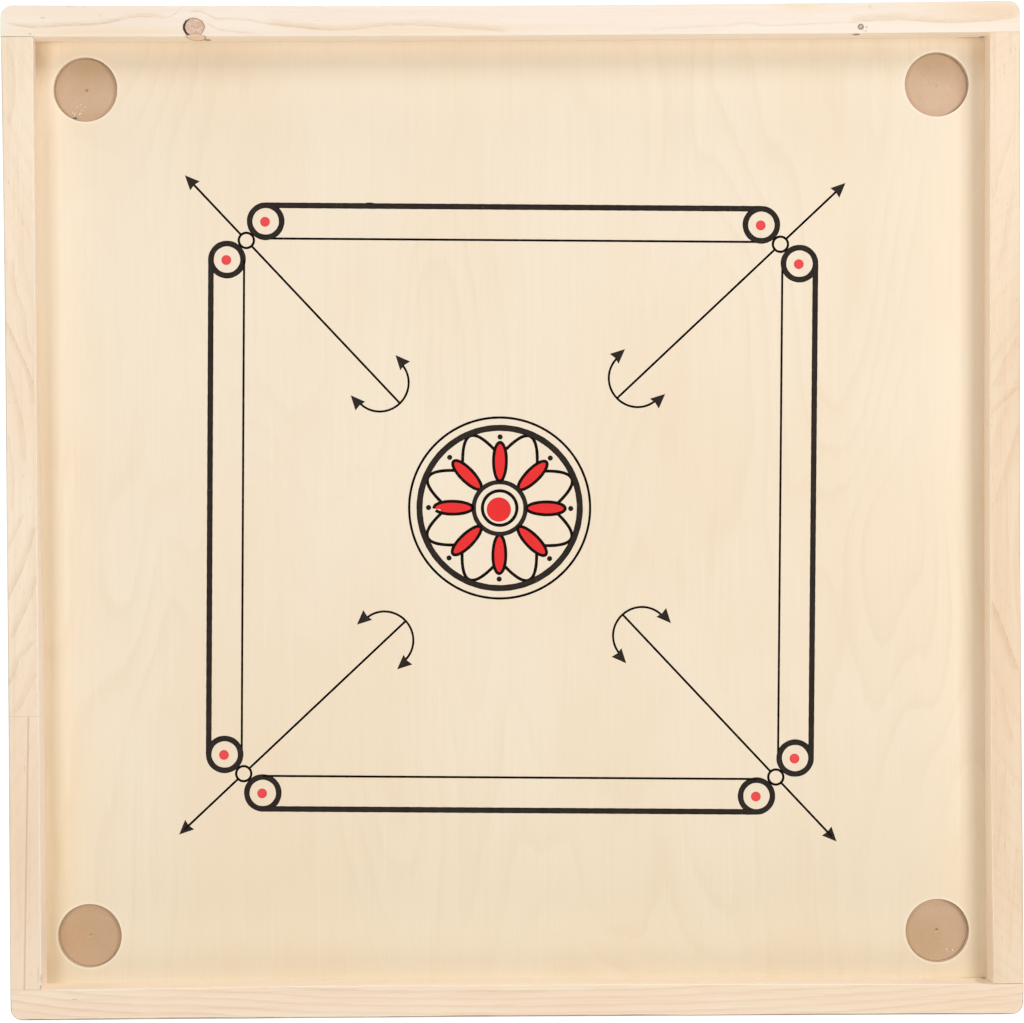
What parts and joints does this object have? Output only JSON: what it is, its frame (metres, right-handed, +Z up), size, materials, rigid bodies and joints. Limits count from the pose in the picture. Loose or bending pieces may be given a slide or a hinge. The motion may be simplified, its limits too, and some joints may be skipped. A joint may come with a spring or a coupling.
{
  "type": "carrom board",
  "caption": "Square wooden carrom board with raised rails, round closed corner pockets, printed base lines, diagonal arrows and a petal rosette.",
  "frame": {"origin": "on the table under the middle of the board", "axes": "+X to the right and +Y to the rear of the board as the picture shows it, +Z up out of the playing surface"},
  "size_m": [0.65, 0.65, 0.045],
  "materials": {
    "pine_rear": "planed softwood, clear satin lacquer",
    "pine_front": "planed softwood, clear satin lacquer",
    "pine_left": "planed softwood, clear satin lacquer",
    "pine_right": "planed softwood, clear satin lacquer",
    "plywood": "pale veneered plywood, smooth clear lacquer",
    "fibreboard": "bare cut fibreboard, matt",
    "batten_pine": "planed softwood, bare",
    "dowel_beech": "fluted hardwood pins, bare",
    "screw_zinc": "zinc-plated, satin",
    "ink_black": "screen-printed black ink, satin",
    "ink_red": "screen-printed red ink, satin"
  },
  "bodies": {
    "root": {"rear_rail": "pine_rear", "front_rail": "pine_front", "left_rail": "pine_left", "right_rail": "pine_right", "playing_sheet": "plywood", "base_board": "fibreboard", "batten_across": "batten_pine", "batten_lengthwise": "batten_pine", "batten_screw_1": "screw_zinc", "batten_screw_2": "screw_zinc", "batten_screw_3": "screw_zinc", "batten_screw_4": "screw_zinc", "batten_screw_5": "screw_zinc", "batten_screw_6": "screw_zinc", "batten_screw_7": "screw_zinc", "batten_screw_8": "screw_zinc", "dowel_1": "dowel_beech", "dowel_2": "dowel_beech", "dowel_3": "dowel_beech", "dowel_4": "dowel_beech", "dowel_5": "dowel_beech", "dowel_6": "dowel_beech", "dowel_7": "dowel_beech", "dowel_8": "dowel_beech", "base_line_print": "ink_black", "rosette_rim": "ink_black", "rosette_print": "ink_black", "centre_ring": "ink_black", "rosette_dot_1": "ink_black", "rosette_dot_2": "ink_black", "rosette_dot_3": "ink_black", "rosette_dot_4": "ink_black", "rosette_dot_5": "ink_black", "rosette_dot_6": "ink_black", "rosette_dot_7": "ink_black", "rosette_dot_8": "ink_black", "centre_disc": "ink_red", "rosette_petal_1": "ink_red", "rosette_petal_2": "ink_red", "rosette_petal_3": "ink_red", "rosette_petal_4": "ink_red", "rosette_petal_5": "ink_red", "rosette_petal_6": "ink_red", "rosette_petal_7": "ink_red", "rosette_petal_8": "ink_red", "base_dot_1": "ink_red", "base_dot_2": "ink_red", "base_dot_3": "ink_red", "base_dot_4": "ink_red", "base_dot_5": "ink_red", "base_dot_6": "ink_red", "base_dot_7": "ink_red", "base_dot_8": "ink_red"}
  },
  "joints": []
}
